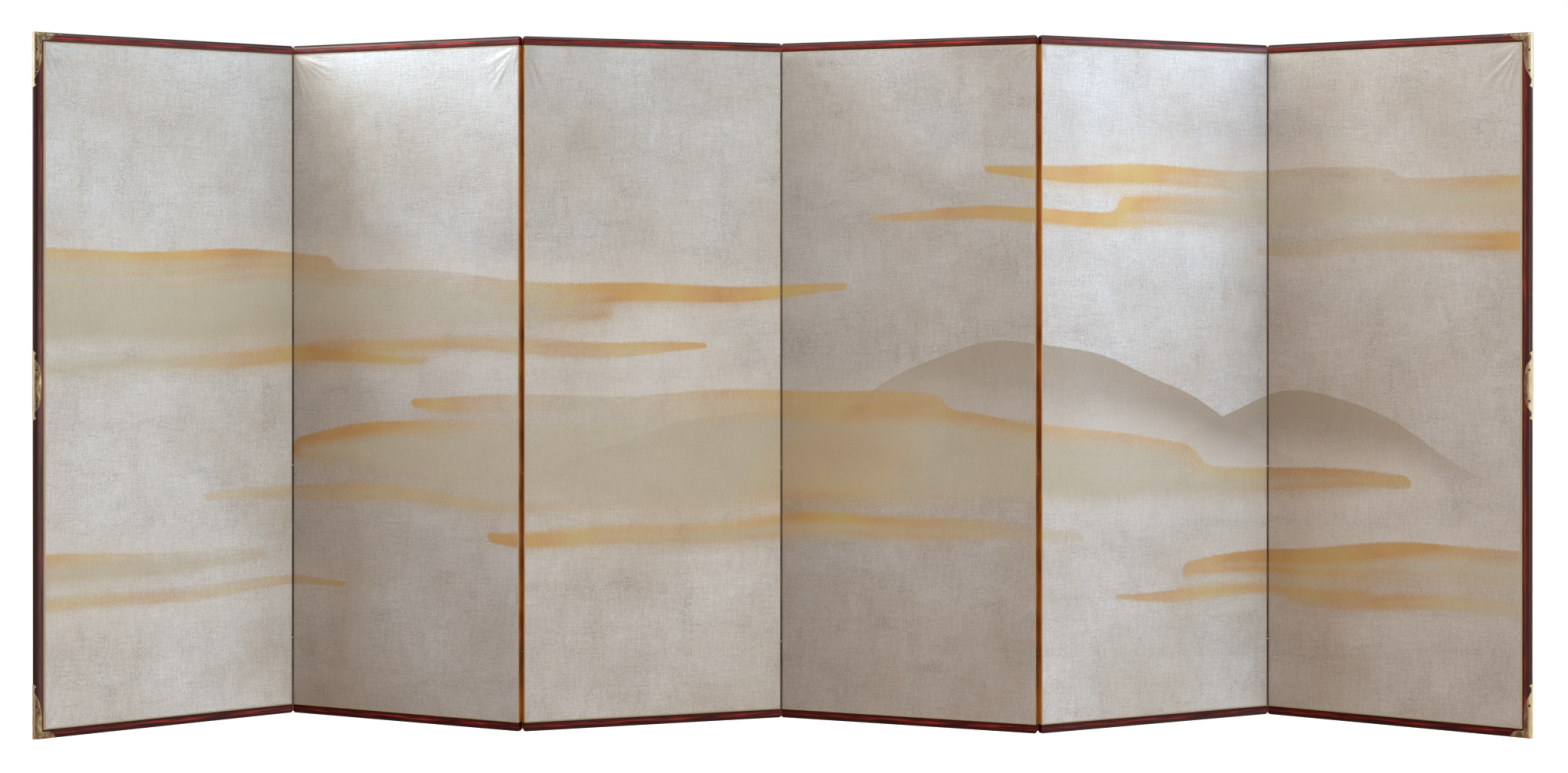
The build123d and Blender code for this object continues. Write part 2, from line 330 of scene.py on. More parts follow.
@dataclass(frozen=True)
class FaceSize:
    """A face of a panel, in the panel's own axes, as its CAD node gives it."""

    left: float
    right: float
    bottom: float
    top: float
    inner: float
    outer: float

    @classmethod
    def of(cls, node: str, place: PanelPlace) -> FaceSize:
        """Reads the size of a face.

        Args:
            node: the CAD node's name.
            place: where its panel stands.

        Returns:
            The size, with outer on the side that shows.
        """
        own = place.own(points_of(node))
        low, high = own.min(axis=0), own.max(axis=0)
        near, far = sorted((float(low[1]), float(high[1])), key=abs)
        return cls(float(low[0]), float(high[0]), float(low[2]), float(high[2]), near, far)


class Finish:
    """A material of the screen, with what all of them share."""

    name: str = "finish"
    # How far the pattern moves from one panel to the next, so that no two are the same.
    panel_step: Triple = (0.0, 0.0, 0.0)

    def begin(self, suffix: str, place: PanelPlace) -> tuple[bpy.types.Material, Tree, Socket]:
        """Starts a material.

        Args:
            suffix: what sets this material apart from others of its finish.
            place: where its panel stands.

        Returns:
            The material, its tree and the socket with the panel's own coordinates.
        """
        material = bpy.data.materials.new(f"{self.name}_{suffix}")
        material.use_nodes = True
        return material, material.node_tree, place.coordinates(material.node_tree)

    def finish(self, material: bpy.types.Material, looks: dict[str, object]) -> bpy.types.Material:
        """Gives a material's surface its looks.

        Args:
            material: the material.
            looks: a value, hex colour or socket for each of the surface's inputs that it sets.

        Returns:
            The same material.
        """
        fill(material.node_tree, material.node_tree.nodes["Principled BSDF"], looks)
        return material

    def streaks(self, tree: Tree, place: Socket, stretch: Triple, look: dict[str, float]) -> Socket:
        """Draws noise that runs along one way.

        Args:
            tree: the material's tree.
            place: the coordinates, in metres.
            stretch: how often it changes in a metre, along each axis.
            look: the noise's detail, roughness and distortion.

        Returns:
            The socket with the noise.
        """
        run = add_node(tree, "VectorMath", (place, stretch), operation="MULTIPLY")
        return add_node(tree, "TexNoise", {"Vector": run, "Scale": 1.0, **look})

    def moved(self, tree: Tree, own: Socket, number: int) -> Socket:
        """The coordinates of a panel's own part of the pattern."""
        shift = tuple(number * step for step in self.panel_step)
        return add_node(tree, "VectorMath", (own, shift), operation="ADD")

    def put_on(self, piece: bpy.types.Object, material: bpy.types.Material) -> None:
        """Gives a piece one material and nothing else."""
        piece.data.materials.clear()
        piece.data.materials.append(material)


@dataclass(frozen=True)
class SilveredSilk(Finish):
    """Plain-woven silk, brushed with silver and backed with paper, then tarnished by age.

    The eye sees a soft metallic grey that goes from white to brown with its angle to the light,
    specked with dark tarnish, with a bare strip of cream silk round the silver.
    """

    name: str = "silvered_silk"
    panel_step: Triple = (3.71, 0.0, 1.93)
    silver: str = "#D0D4D7"
    silver_warm: str = "#C3C1BD"
    tarnish: str = "#746A5A"
    bare_silk: str = "#BBAF97"
    gold: str = "#CBA45C"
    gold_deep: str = "#BD8B49"
    gold_green: str = "#CBB96B"
    celadon: str = "#BDB79C"
    far_hill: str = "#A0937F"
    white_mist: str = "#DEDCD7"
    # How much of a metal the silver is where it is bare, and where paint hides it.
    metal: tuple[float, float] = (0.72, 0.12)
    sheen: float = 0.12
    leaf_square: float = 109 * MM
    cloud: float = 333.333 * MM
    gold_cloud: float = 250 * MM
    grain: float = 2.4 * MM
    speck: float = 2.0 * MM
    patch_length: float = 200 * MM
    patch_width: float = 58.8235 * MM
    thread: float = 3.2 * MM
    slub_length: float = 45.7143 * MM
    # The real dust is about 0.2 mm. It is drawn coarser, so that it shows at the screen's full height,
    # and it scatters about half as far as this from an edge.
    dust: float = 3.125 * MM
    scatter: float = 26 * MM
    rail_border: float = 3.8 * MM
    stile_border: float = 6 * MM
    ridge_border: float = 2.6 * MM
    valley_border: float = 0.7 * MM
    ragged: float = 1.6 * MM
    ragged_grain: float = 5.2632 * MM
    border_blur: float = 0.6 * MM
    # A face whose side lies nearer its panel's middle than this has a stile on that side.
    stile_side: float = 320 * MM
    # Painted light and shade: how light each panel's silver is, and how much of that is left at its left
    # edge, where painted shade darkens it toward a valley fold.
    panel_painted_light: tuple[float, ...] = (1.0, 0.985, 0.99, 1.0, 0.98, 1.05)
    left_painted_shade: tuple[float, ...] = (1.0, 1.0, 1.0, 0.84, 1.0, 0.98)
    left_shade_reach: float = 280 * MM

    def build(self, place: PanelPlace, face: FaceSize) -> bpy.types.Material:
        """Makes one panel's silk.

        Args:
            place: where the panel stands.
            face: the size of its face.

        Returns:
            The material.
        """
        material, tree, own = self.begin(str(place.number), place)
        ground = self.ground(tree, own, place.number, face.left)
        painted, paint = self.painting(tree, own, ground)
        colour, bare = self.border(tree, own, painted, place, face)
        # Silver shines like a metal, paint hides most of that, and bare silk has none.
        metal = add_node(tree, "MapRange", (paint, 0.0, 1.0, *self.metal))
        silvered = add_node(tree, "Math", (1.0, bare), operation="SUBTRACT")
        weave = self.slubs(tree, own)
        looks = {
            "Base Color": colour,
            "Metallic": add_node(tree, "Math", (metal, silvered), operation="MULTIPLY"),
            "Roughness": add_node(tree, "MapRange", (weave, 0.7, 1.3, 0.46, 0.6)),
            "Normal": add_node(tree, "Bump", {"Height": weave, "Strength": 0.35, "Distance": 0.9 * MM}),
            "Sheen Weight": self.sheen,
            "Sheen Roughness": 0.5,
        }
        return self.finish(material, looks)

    def ground(self, tree: Tree, own: Socket, number: int, left: float) -> Socket:
        """Draws the silver with its squares, clouds of tarnish, dark specks and painted light and shade.

        Args:
            tree: the material's tree.
            own: the panel's own coordinates.
            number: the panel's number, which sets its pattern apart from the others' and picks its painted
                shade.
            left: the panel's own X at its left edge.

        Returns:
            The socket with the colour.
        """
        moved = self.moved(tree, own, number)
        look = {"Vector": moved, "Scale": 1 / self.cloud, "Detail": 4.0, "Roughness": 0.55}
        clouds = add_node(tree, "TexNoise", look)
        colour = add_node(tree, "ValToRGB", (clouds,), ((0.34, self.silver_warm), (0.66, self.silver)))
        cells = (self.leaf_square, 1.0, self.leaf_square)
        square = add_node(tree, "VectorMath", (moved, cells), operation="SNAP")
        grain = add_node(tree, "TexNoise", {"Vector": moved, "Scale": 1 / self.grain, "Detail": 1.0})
        across = add_node(tree, "SeparateXYZ", (own,), output="X")
        # The panel's painted light and shade, and the painted shade toward its left edge.
        tone, left_shade = self.panel_painted_light[number - 1], self.left_painted_shade[number - 1]
        # Each of these lightens or darkens the silver: painted light and shade on the panel and toward its
        # left edge, leaf squares, threads and grain.
        tones = (
            (across, left, left + self.left_shade_reach, tone * left_shade, tone),
            (add_node(tree, "TexWhiteNoise", (square,)), 0.0, 1.0, 0.98, 1.02),
            (self.slubs(tree, moved), 0.72, 1.28, 0.915, 1.085),
            (grain, 0.3, 0.7, 0.88, 1.07),
        )
        for limits in tones:
            shade = {0: 1.0, 6: colour, 7: add_node(tree, "MapRange", limits)}
            colour = add_node(tree, "Mix", shade, blend_type="MULTIPLY", **COLOURS)
        look = {"Vector": moved, "Scale": 1 / self.speck, "Detail": 2.0, "Roughness": 0.7}
        specks = add_node(tree, "TexNoise", look)
        # The specks gather in patches that run along the threads of both ways.
        long, wide = 1 / self.patch_length, 1 / self.patch_width
        look = {"Detail": 4.0, "Roughness": 0.65}
        patches = [self.streaks(tree, moved, run, look) for run in ((long, 1.0, wide), (wide, 1.0, long))]
        densest = add_node(tree, "Math", patches, operation="MAXIMUM")
        edge = add_node(tree, "MapRange", (densest, 0.46, 0.72, 0.58, 0.45))
        over = add_node(tree, "Math", (specks, edge), operation="SUBTRACT")
        dark = add_node(tree, "MapRange", (over, 0.0, 0.14, 0.0, 0.45))
        return add_node(tree, "Mix", {0: dark, 6: colour, 7: self.tarnish}, **COLOURS)

    def slubs(self, tree: Tree, place: Socket) -> Socket:
        """Draws the threads, as thin streaks that run both ways.

        The real threads are about 0.3 mm apart. They are drawn ten times as coarse, so that they
        show at the screen's full height.

        Args:
            tree: the material's tree.
            place: the coordinates, in metres.

        Returns:
            The socket with a value round 1.
        """
        fine, long = 1 / self.thread, 1 / self.slub_length
        look = {"Detail": 2.0, "Roughness": 0.7}
        both = [self.streaks(tree, place, run, look) for run in ((long, fine, fine), (fine, fine, long))]
        return add_node(tree, "Math", both, operation="ADD")

    def painting(self, tree: Tree, own: Socket, ground: Socket) -> tuple[Socket, Socket]:
        """Lays mist, hills and gold dust over the silver, as far from their edges as the mesh says.

        Args:
            tree: the material's tree.
            own: the panel's own coordinates.
            ground: the silver's colour.

        Returns:
            The socket with the colour, and the one that says how much paint hides the silver.
        """
        depth, hill_depth, lower, hill, pools, drift = (
            add_node(tree, "Attribute", output="Fac", attribute_name=name) for name in PAINT_MEASURES
        )
        look = {"Vector": own, "Scale": 1 / self.dust, "Detail": 3.0, "Roughness": 0.8}
        dust = add_node(tree, "TexNoise", look)
        # Dust was shaken on through a stencil, so a crisp edge is ragged and specks lie outside it.
        centred = add_node(tree, "Math", (dust, 0.5), operation="SUBTRACT")
        edges = ((depth, 1.0, -1.2, 1.2), (depth, 0.6, -40, 45), (hill_depth, 0.4, -1.5, 1.5))
        masks = []
        for measure, share, low, high in edges:
            scattered = (centred, share * self.scatter, measure)
            ragged = add_node(tree, "Math", scattered, operation="MULTIPLY_ADD")
            masks.append(add_node(tree, "MapRange", (ragged, low * MM, high * MM), **SMOOTH))
        crisp, faded, hill_edge = masks
        body = add_node(tree, "Mix", {0: lower, 2: crisp, 3: faded})
        outside = add_node(tree, "Math", (1.0, body), operation="SUBTRACT")
        ends = ((body, 1.0, 0.4), (lower, 1.0, 0.4), (drift, 0.6, 0.0), (drift, 0.6, 1.0))
        behind, upper, waning, waxing = (
            add_node(tree, "MapRange", (measure, 0.0, 1.0, *outcome)) for measure, *outcome in ends
        )
        bounds = (
            (depth, -120 * MM, 0.0),
            (depth, 0.0, 50 * MM, 0.3, 1.0),
            (depth, 8 * MM, 60 * MM, 1.0, 0.0),
            (pools, 0.7, 1.0, 0.0, 0.35),
        )
        near, deep, shallow, pooled = (add_node(tree, "MapRange", limits, **SMOOTH) for limits in bounds)
        # Where each layer lies, how far in, and what it varies with.
        products = (
            (hill, hill_edge, behind),
            (outside, near, waning),
            (body, deep, waxing),
            (body, shallow, upper),
            (body, pooled),
        )
        far, mist, celadon, rim, pool = (chain(tree, "Math", row, operation="MULTIPLY") for row in products)
        ripe = add_node(tree, "Math", (pools, 1.15, 0.1), operation="MULTIPLY_ADD")
        gold = add_node(tree, "Math", (rim, ripe, pool), operation="MULTIPLY_ADD")
        look = {"Vector": own, "Scale": 1 / self.gold_cloud, "Detail": 3.0, "Roughness": 0.5}
        hues = ((0.3, self.gold_deep), (0.5, self.gold), (0.68, self.gold_green))
        golds = add_node(tree, "ValToRGB", (add_node(tree, "TexNoise", look),), hues)
        # How much of it, its colour, how grainy where it thins out, and how much it hides at most.
        layers = (
            (far, self.far_hill, 1.2, 0.7),
            (mist, self.white_mist, 1.0, 0.7),
            (celadon, self.celadon, 1.0, 0.74),
            (gold, golds, 2.2, 0.82),
        )
        colour, masks = ground, []
        for amount, paint, grain, strength in layers:
            spread = add_node(tree, "MapRange", (dust, 0.25, 0.75, -grain, grain))
            # Dust matters only where the layer is neither bare nor full.
            rest = add_node(tree, "Math", (1.0, amount), operation="SUBTRACT")
            partly = add_node(tree, "Math", (amount, rest), operation="MULTIPLY")
            fine = add_node(tree, "Math", (spread, partly, amount), operation="MULTIPLY_ADD")
            masks.append(add_node(tree, "MapRange", (fine, 0.05, 0.95, 0.0, strength)))
            colour = add_node(tree, "Mix", {0: masks[-1], 6: colour, 7: paint}, **COLOURS)
        # Gold shines as the silver does.
        return colour, chain(tree, "Math", masks[:-1], operation="MAXIMUM")

    def border_at(self, side: Side, place: PanelPlace, face: FaceSize) -> float:
        """The width of bare silk at one side: wide at a stile, narrow on a ridge, least in a valley.

        Args:
            side: the side.
            place: where the panel stands.
            face: the size of its face.

        Returns:
            The width, in metres.
        """
        if abs(face.left if side is Side.LEFT else face.right) < self.stile_side:
            return self.stile_border
        on_ridge = (place.number % 2 == 0) == (side is Side.RIGHT)
        return self.ridge_border if on_ridge else self.valley_border

    def border(
        self, tree: Tree, own: Socket, painted: Socket, place: PanelPlace, face: FaceSize
    ) -> tuple[Socket, Socket]:
        """Leaves the cream silk bare in a narrow strip round the silver.

        Args:
            tree: the material's tree.
            own: the panel's own coordinates.
            painted: the colour inside the strip.
            place: where the panel stands.
            face: the size of the panel's face.

        Returns:
            The socket with the colour, and the one that is 1 on the strip.
        """
        x, z = (add_node(tree, "SeparateXYZ", (own,), output=axis) for axis in "XZ")
        wobble = add_node(tree, "TexNoise", {"Vector": own, "Scale": 1 / self.ragged_grain, "Detail": 3.0})
        ragged = add_node(tree, "MapRange", (wobble, 0.0, 1.0, -self.ragged, self.ragged))
        strips = (
            (x, face.left, self.border_at(Side.LEFT, place, face), 1.0),
            (x, face.right, self.border_at(Side.RIGHT, place, face), -1.0),
            (z, face.bottom, self.rail_border, 1.0),
            (z, face.top, self.rail_border, -1.0),
        )
        masks = []
        for value, edge, width, way in strips:
            inside = add_node(tree, "Math", (value, way, -way * edge - width), operation="MULTIPLY_ADD")
            inside = add_node(tree, "Math", (inside, ragged), operation="ADD")
            limits = (inside, -self.border_blur, self.border_blur, 1.0, 0.0)
            masks.append(add_node(tree, "MapRange", limits))
        bare = chain(tree, "Math", masks, operation="MAXIMUM")
        return add_node(tree, "Mix", {0: bare, 6: painted, 7: self.bare_silk}, **COLOURS), bare


@dataclass(frozen=True)
class TransparentLacquer(Finish):
    """Brown transparent lacquer over a red ground, wiped and polished along the frame.

    The eye sees near-black edges, a red that glows through in streaks along the middle of the face,
    and a sharp gloss. The dark edges and the bright middle are painted shade and highlight across the
    rounded moulding.
    """

    name: str = "transparent_lacquer"
    panel_step: Triple = (2.3, 0.0, 1.7)
    dark: str = "#2F0D0E"
    brown: str = "#4C1413"
    red: str = "#7E211D"
    streak_highlight: str = "#B43227"
    streak: float = 3.4 * MM
    streak_length: float = 95 * MM
    wiped: float = 312.5 * MM
    wear: float = 16.6667 * MM
    # Painted highlight and shade across the moulding: how much red shows, from the moulding's outer edge
    # to its inner edge, dark at both edges and brightest between them.
    level_highlight_places: tuple[float, ...] = (0.1, 0.36, 0.54, 0.74, 0.97)
    level_highlight: tuple[str, ...] = ("#484848", "#808080", "#FFFFFF", "#A4A4A4", "#484848")
    upright_highlight_places: tuple[float, ...] = (0.1, 0.42, 0.7, 0.88, 0.99)
    upright_highlight: tuple[str, ...] = ("#404040", "#5C5C5C", "#E4E4E4", "#C0C0C0", "#585858")

    def build(self, place: PanelPlace, member: Member, face: float, height: float) -> bpy.types.Material:
        """Makes the lacquer for one member, with its streaks along it and painted light and shade across
        it.

        Args:
            place: where the panel stands.
            member: which member it is.
            face: the width of the moulding, seen from the front.
            height: the height of the whole screen.

        Returns:
            The material.
        """
        material, tree, own = self.begin(f"{member.value}_{place.number}", place)
        outer, way = {
            Member.TOP_RAIL: (height, -1),
            Member.BOTTOM_RAIL: (0.0, 1),
            Member.LEFT_STILE: (-place.half_width, 1),
            Member.RIGHT_STILE: (place.half_width, -1),
        }[member]
        across = add_node(tree, "SeparateXYZ", (own,), output="X" if member.upright else "Z")
        # 0 at the moulding's outer edge and 1 at its inner edge.
        share = add_node(tree, "MapRange", (across, outer, outer + way * face))
        fine, long = 1 / self.streak, 1 / self.streak_length
        if member.upright:
            stops, stretch = tuple(zip(self.upright_highlight_places, self.upright_highlight)), (fine, fine, long)
        else:
            stops, stretch = tuple(zip(self.level_highlight_places, self.level_highlight)), (long, fine, fine)
        # Painted highlight and shade across the moulding, from edge to edge.
        highlight_band = add_node(tree, "ValToRGB", (share,), stops)
        streaks = self.streaks(tree, own, stretch, {"Detail": 3.0, "Roughness": 0.6, "Distortion": 0.3})
        amount = add_node(tree, "MapRange", (streaks, 0.36, 0.64, 0.0, 1.1))
        # The lacquer was wiped thicker in some places and thinner in others.
        moved = self.moved(tree, own, place.number)
        wiped = add_node(tree, "TexNoise", {"Vector": moved, "Scale": 1 / self.wiped, "Detail": 2.0})
        thin = add_node(tree, "MapRange", (wiped, 0.36, 0.64, 0.62, 1.15))
        streak_highlight = chain(tree, "Math", (highlight_band, amount, thin), operation="MULTIPLY")
        reds = ((0.0, self.dark), (0.2, self.brown), (0.5, self.red), (0.95, self.streak_highlight))
        colour = add_node(tree, "ValToRGB", (streak_highlight,), reds)
        # Painted light: the member's tone lightens the top rail and the right stile and darkens the bottom
        # rail.
        toned = add_node(tree, "VectorMath", {0: colour, "Scale": member.tone}, operation="SCALE")
        wear = add_node(tree, "TexNoise", {"Vector": own, "Scale": 1 / self.wear, "Detail": 4.0})
        looks = {
            "Base Color": toned,
            "Roughness": add_node(tree, "MapRange", (wear, 0.3, 0.7, 0.26, 0.4)),
            "Normal": add_node(tree, "Bump", {"Height": streaks, "Strength": 0.07, "Distance": 0.4 * MM}),
            "IOR": 1.42,
            "Specular IOR Level": 0.5 * member.gloss,
            "Coat Weight": 0.06 * member.gloss,
            "Coat Roughness": 0.1,
        }
        return self.finish(material, looks)


@dataclass(frozen=True)
class AgedBrass(Finish):
    """Sheet brass, cut, pierced and hammered over the frame, then browned by handling.

    The eye sees a dull yellow metal with brown in its hollows and a bright line on its cut edges, which
    is painted highlight with some wear.
    """

    name: str = "aged_brass"
    worn: str = "#DCCFB2"
    brass: str = "#8D775A"
    brown: str = "#4B3A2C"
    edge_round: float = 1.8 * MM
    dimple: float = 9 * MM
    stain: float = 8.772 * MM
    stain_length: float = 23.81 * MM
    # A painted highlight keeps the outer bevel bright, the right end's more than the left's.
    shoulder_highlight: float = 0.75
    left_highlight_reach: float = 3 * MM
    right_highlight_reach: float = 11 * MM

    def build(self, place: PanelPlace, side: Side) -> bpy.types.Material:
        """Makes the brass of one end of the screen.

        Args:
            place: where the end panel stands.
            side: which end it is.

        Returns:
            The material.
        """
        material, tree, own = self.begin(side.name.lower(), place)
        # Years of polishing along the frame drew the brown out lengthwise.
        stretch = (1 / self.stain, 1 / self.stain, 1 / self.stain_length)
        patina = self.streaks(tree, own, stretch, {"Detail": 5.0, "Roughness": 0.6, "Distortion": 0.4})
        hues = ((0.3, self.brown), (0.5, self.brass), (0.8, self.worn))
        colour = add_node(tree, "ValToRGB", (patina,), hues)
        # A painted highlight on the outer bevel, reaching further in at the right end.
        across = add_node(tree, "SeparateXYZ", (own,), output="X")
        from_edge = (across, float(-side.value), place.half_width)
        inward = add_node(tree, "Math", from_edge, operation="MULTIPLY_ADD")
        reach = self.left_highlight_reach if side is Side.LEFT else self.right_highlight_reach
        shoulder_highlight = add_node(tree, "MapRange", (inward, 0.5 * reach, reach, self.shoulder_highlight, 0.0), **SMOOTH)
        # A painted highlight, with some wear, lightens the cut edges.
        rounded = add_node(tree, "Bevel", {"Radius": self.edge_round}, samples=6)
        flat = add_node(tree, "NewGeometry", output="True Normal")
        facing = add_node(tree, "VectorMath", (rounded, flat), output="Value", operation="DOT_PRODUCT")
        edge = add_node(tree, "MapRange", (facing, 0.98, 0.75, 0.0, 0.95))
        for share in (shoulder_highlight, edge):
            colour = add_node(tree, "Mix", {0: share, 6: colour, 7: self.worn}, **COLOURS)
        dimples = add_node(tree, "TexNoise", {"Vector": own, "Scale": 1 / self.dimple, "Detail": 2.0})
        bump = {"Height": dimples, "Normal": rounded, "Strength": 0.1, "Distance": 0.6 * MM}
        looks = {
            "Base Color": colour,
            "Metallic": 1.0,
            "Roughness": add_node(tree, "MapRange", (patina, 0.35, 0.65, 0.56, 0.4)),
            "Normal": add_node(tree, "Bump", bump),
        }
        return self.finish(material, looks)


@dataclass(frozen=True)
class HingePaper(Finish):
    """Layered mulberry paper, dyed gold-brown, pasted round the edges and across the folds.

    The eye sees a warm, nearly matt strip with pale fibres along it and darker patches from handling.
    """

    name: str = "hinge_paper"
    clean: tuple[str, str, str] = ("#835126", "#BB7933", "#D79C4E")
    soiled: tuple[str, str, str] = ("#2C211A", "#53402F", "#7A644E")
    # How far back from the front the dirt and painted shade begin to thin out, and where they end.
    soil_and_shade_fade: tuple[float, float] = (1.2 * MM, 4 * MM)
    fibre: float = 1.4 * MM
    fibre_length: float = 22 * MM
    patch: float = 125 * MM

    def build(self, place: PanelPlace, soil: Soil, front: float = 0.0) -> bpy.types.Material:
        """Makes the paper of one panel's edges.

        Args:
            place: where the panel stands.
            soil: where the paper is dark with dirt and painted shade.
            front: the panel's own Y at its front face.

        Returns:
            The material.
        """
        material, tree, own = self.begin(f"{soil.value}_{place.number}", place)
        stretch = (1 / self.fibre, 1 / self.fibre, 1 / self.fibre_length)
        fibres = self.streaks(tree, own, stretch, {"Detail": 4.0, "Roughness": 0.7})
        patches = add_node(tree, "TexNoise", {"Vector": own, "Scale": 1 / self.patch, "Detail": 4.0})
        tone = add_node(tree, "Math", (fibres, 0.55, patches), operation="MULTIPLY_ADD")
        clean, soiled = (
            add_node(tree, "ValToRGB", (tone,), tuple(zip((0.55, 0.74, 0.95), colours)))
            for colours in (self.clean, self.soiled)
        )
        share = 1.0 if soil is Soil.ALL_OVER else 0.0
        if soil is Soil.AT_FRONT:
            deep = add_node(tree, "SeparateXYZ", (own,), output="Y")
            limits = (deep, front + self.soil_and_shade_fade[0], front + self.soil_and_shade_fade[1], 1.0, 0.0)
            share = add_node(tree, "MapRange", limits, **SMOOTH)
        looks = {
            "Base Color": add_node(tree, "Mix", {0: share, 6: clean, 7: soiled}, **COLOURS),
            "Roughness": add_node(tree, "MapRange", (fibres, 0.3, 0.7, 0.62, 0.8)),
            "Normal": add_node(tree, "Bump", {"Height": fibres, "Strength": 0.3, "Distance": 0.3 * MM}),
        }
        return self.finish(material, looks)


@dataclass(frozen=True)
class PrintedPaper(Finish):
    """Backing paper, block-printed with a small lozenge repeat in mica on a brown-grey ground.

    The eye sees a matt ground with a faintly shining repeat, worn thin here and there.
    """

    name: str = "printed_paper"
    ground: str = "#8C8069"
    ground_dark: str = "#776B55"
    mica: str = "#B3A88C"
    repeat: float = 34 * MM
    line: float = 2.2 * MM
    cloud: float = 200 * MM
    worn: float = 4.16667 * MM
    # How much wider than high a lozenge is, and how far inside it its second line lies.
    spread: float = 1.7
    second_line: float = 0.3

    def build(self, place: PanelPlace) -> bpy.types.Material:
        """Makes the paper of one panel's back.

        Args:
            place: where the panel stands.

        Returns:
            The material.
        """
        material, tree, own = self.begin(str(place.number), place)
        x, z = (add_node(tree, "SeparateXYZ", (own,), output=axis) for axis in "XZ")
        look = {"Vector": own, "Scale": 1 / self.cloud, "Detail": 5.0, "Roughness": 0.6}
        clouds = add_node(tree, "TexNoise", look)
        base = add_node(tree, "ValToRGB", (clouds,), ((0.35, self.ground_dark), (0.65, self.ground)))
        # Two sets of slanted lines cross into lozenges.
        stripes = []
        for slope in (self.spread, -self.spread):
            slant = add_node(tree, "Math", (z, slope, x), operation="MULTIPLY_ADD")
            phase = add_node(tree, "Math", (slant, self.repeat / 2), operation="PINGPONG")
            inner = add_node(tree, "Math", (phase, self.repeat * self.second_line), operation="SUBTRACT")
            inner = add_node(tree, "Math", (inner,), operation="ABSOLUTE")
            for value, width in ((phase, self.line / 2), (inner, self.line / 4)):
                stripes.append(add_node(tree, "MapRange", (value, width, width * 1.5, 1.0, 0.0)))
        lozenges = chain(tree, "Math", stripes, operation="MAXIMUM")
        look = {"Vector": own, "Scale": 1 / self.worn, "Detail": 3.0, "Roughness": 0.7}
        worn = add_node(tree, "TexNoise", look)
        ink = add_node(tree, "MapRange", (worn, 0.36, 0.58, 0.15, 0.8))
        printed = add_node(tree, "Math", (lozenges, ink), operation="MULTIPLY")
        looks = {
            "Base Color": add_node(tree, "Mix", {0: printed, 6: base, 7: self.mica}, **COLOURS),
            "Roughness": add_node(tree, "MapRange", (printed, 0.0, 1.0, 0.85, 0.45)),
            "Normal": add_node(tree, "Bump", {"Height": worn, "Strength": 0.25, "Distance": 0.3 * MM}),
        }
        return self.finish(material, looks)


@dataclass(frozen=True)
class PlanedCedar(Finish):
    """Cedar, planed for the lattice and left bare.

    The eye sees pale straight-grained softwood, with darker lines of summer growth.
    """

    name: str = "planed_cedar"
    early: str = "#D8B98A"
    late: str = "#A87C4E"
    ring: float = 4 * MM
    ring_length: float = 200 * MM

    def build(self, place: PanelPlace) -> bpy.types.Material:
        """Makes the wood of one panel's lattice.

        Args:
            place: where the panel stands.

        Returns:
            The material.
        """
        material, tree, own = self.begin(str(place.number), place)
        stretch = (1 / self.ring, 1 / self.ring, 1 / self.ring_length)
        grain = self.streaks(tree, own, stretch, {"Detail": 4.0, "Roughness": 0.6})
        looks = {
            "Base Color": add_node(tree, "ValToRGB", (grain,), ((0.4, self.early), (0.62, self.late))),
            "Roughness": 0.7,
            "Normal": add_node(tree, "Bump", {"Height": grain, "Strength": 0.2, "Distance": 0.2 * MM}),
        }
        return self.finish(material, looks)


def graded(start: float, end: float, fine: float, coarse: float, reach: float) -> np.ndarray:
    """Places along a line, close together near both ends and wider between.

    Args:
        start: the first place.
        end: the last place.
        fine: the step near the ends.
        coarse: the step between.
        reach: how far from each end the fine steps go.

    Returns:
        The places in order.
    """
    count = round(reach / fine)
    low = np.linspace(start, start + reach, count + 1)
    middle = np.linspace(start + reach, end - reach, round((end - start - 2 * reach) / coarse) + 1)
    high = np.linspace(end - reach, end, count + 1)
    return np.concatenate([low, middle[1:-1], high])


def slab(
    name: str, place: PanelPlace, grid: tuple[np.ndarray, np.ndarray], front: np.ndarray, back: float
) -> bpy.types.Mesh:
    """Makes a closed thin slab whose one side is a fine grid.

    Args:
        name: the mesh's name.
        place: where its panel stands.
        grid: the panel's own X and Z at each grid point, one row for each height.
        front: the panel's own Y at each grid point.
        back: Y of the slab's flat side.

    Returns:
        The mesh, in the frame's axes.
    """
    index = np.arange(front.size).reshape(front.shape)
    points = np.stack([grid[0], front, grid[1]], axis=-1).reshape(-1, 3)
    corners = [index[:-1, :-1], index[:-1, 1:], index[1:, 1:], index[1:, :-1]]
    quads = np.stack(corners, axis=-1).reshape(-1, 4)
    rim = np.concatenate([index[0, :-1], index[:-1, -1], index[-1, :0:-1], index[:0:-1, 0]])
    behind = points[rim].copy()
    behind[:, 1] = back
    under = len(points) + np.arange(len(rim))
    sides = np.stack([rim, under, np.roll(under, -1), np.roll(rim, -1)], axis=-1)
    faces = [tuple(quad) for quad in np.concatenate([quads, sides]).tolist()]
    faces.append(tuple(under[::-1].tolist()))
    # A slab on the back of a panel is wound the other way, so that its faces look outward too.
    if back < front.mean():
        faces = [face[::-1] for face in faces]
    mesh = bpy.data.meshes.new(name)
    mesh.from_pydata(place.out(np.concatenate([points, behind])).tolist(), [], faces)
    mesh.polygons.foreach_set("use_smooth", np.arange(len(faces)) < len(quads))
    mesh.update()
    return mesh


@dataclass(frozen=True)
class MistBar:
    """A long bar of mist that thins toward its round ends, in the screen's unfolded front."""

    start: float
    end: float
    height: float
    radius: float


@dataclass(frozen=True)
class Hill:
    """A low round hill, in the screen's unfolded front."""

    middle: float
    half_width: float
    rise: float


